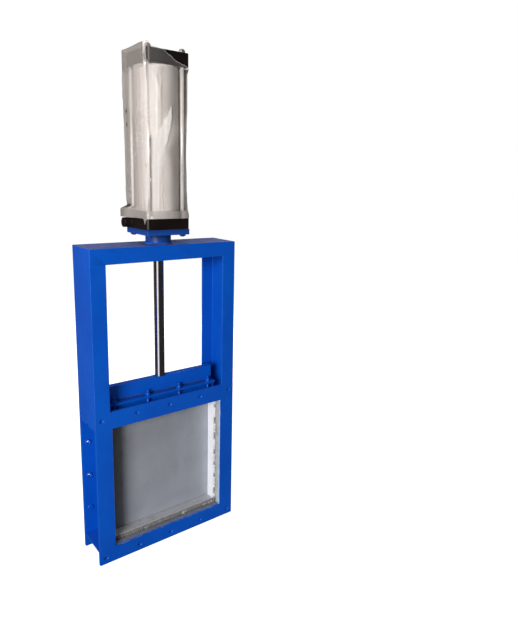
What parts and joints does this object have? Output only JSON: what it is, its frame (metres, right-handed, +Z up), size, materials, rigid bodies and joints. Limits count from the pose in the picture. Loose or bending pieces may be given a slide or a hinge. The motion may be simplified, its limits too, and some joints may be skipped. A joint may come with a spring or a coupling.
{
  "type": "pneumatic gate valve",
  "caption": "Square slide gate valve with a bolted body, a yoke of channel sections and a tie-rod air cylinder that lifts the plate.",
  "frame": {"origin": "middle of the footprint, on the floor", "axes": "+Z up along the gate's travel, -Y out of the front flange, +X to the right seen from the front"},
  "size_m": [0.626, 0.182, 1.984],
  "materials": {
    "blue_paint": "gloss enamel",
    "gate_steel": "mill, lightly stained",
    "seat_steel": "bare, welded",
    "packing": "braided rope",
    "zinc": "zinc plated",
    "black_cap": "black anodised",
    "barrel": "satin anodised",
    "bronze": "turned",
    "chrome": "hard chrome, polished",
    "film": "clear plastic film",
    "piston_alloy": "turned"
  },
  "bodies": {
    "valve_body": {"left_column": "blue_paint", "right_column": "blue_paint", "top_rail": "blue_paint", "front_flange": "blue_paint", "rear_flange": "blue_paint", "left_wall": "blue_paint", "right_wall": "blue_paint", "bottom_wall": "blue_paint", "front_seat": "seat_steel", "rear_seat": "seat_steel", "front_gland_box": "blue_paint", "rear_gland_box": "blue_paint", "front_packing": "packing", "rear_packing": "packing", "front_follower": "blue_paint", "rear_follower": "blue_paint", "gland_studs": "blue_paint", "neck": "blue_paint", "mounting_plate": "blue_paint", "plate_bolts": "zinc", "bottom_cap": "black_cap", "rod_bush": "bronze", "barrel": "barrel", "top_cap": "black_cap", "tie_rods": "zinc", "tie_rod_nuts": "zinc", "film_wrap": "film"},
    "gate": {"gate_plate": "gate_steel", "lifting_beam": "blue_paint", "piston_rod": "chrome", "piston": "piston_alloy"}
  },
  "joints": [
    {"name": "gate_slide", "type": "slide", "parent": "valve_body", "child": "gate", "axis": [0, 0, 1], "range_m": [0, 0.5]}
  ]
}
